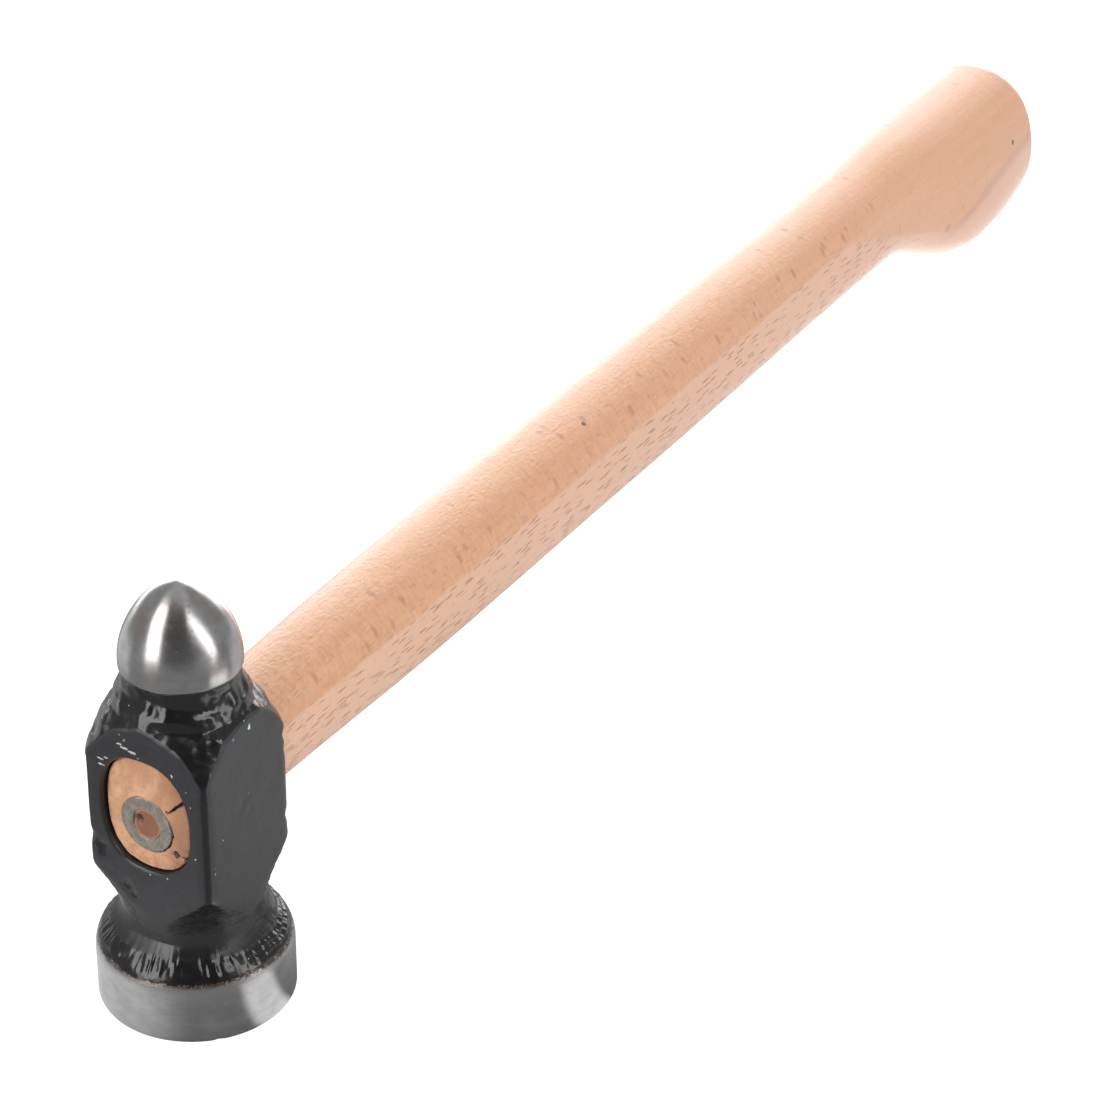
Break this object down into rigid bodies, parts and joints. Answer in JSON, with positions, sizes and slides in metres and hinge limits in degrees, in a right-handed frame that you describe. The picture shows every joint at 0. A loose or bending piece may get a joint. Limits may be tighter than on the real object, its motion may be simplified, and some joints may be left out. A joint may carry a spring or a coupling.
{
  "type": "ball peen hammer",
  "caption": "Small ball peen hammer: a turned and milled steel head with a flat striking face and a pointed round peen, on an oval beech handle with a dropped butt, held by a ring wedge.",
  "frame": {"origin": "centre of the flat striking face", "axes": "+Z along the head from the striking face to the tip of the peen, +X along the handle away from the head, Y across the cheeks; the hammer is symmetric about the plane Y = 0 except for the small sideways offset of the ring wedge"},
  "size_m": [0.2382, 0.025, 0.0598],
  "materials": {
    "head": "black paint on forged steel, bare brushed steel on the face band and the peen",
    "handle": "smooth lightly waxed beech",
    "ring_wedge": "dull unplated steel"
  },
  "bodies": {
    "root": {"head": "head", "handle": "handle", "ring_wedge": "ring_wedge"}
  },
  "joints": []
}
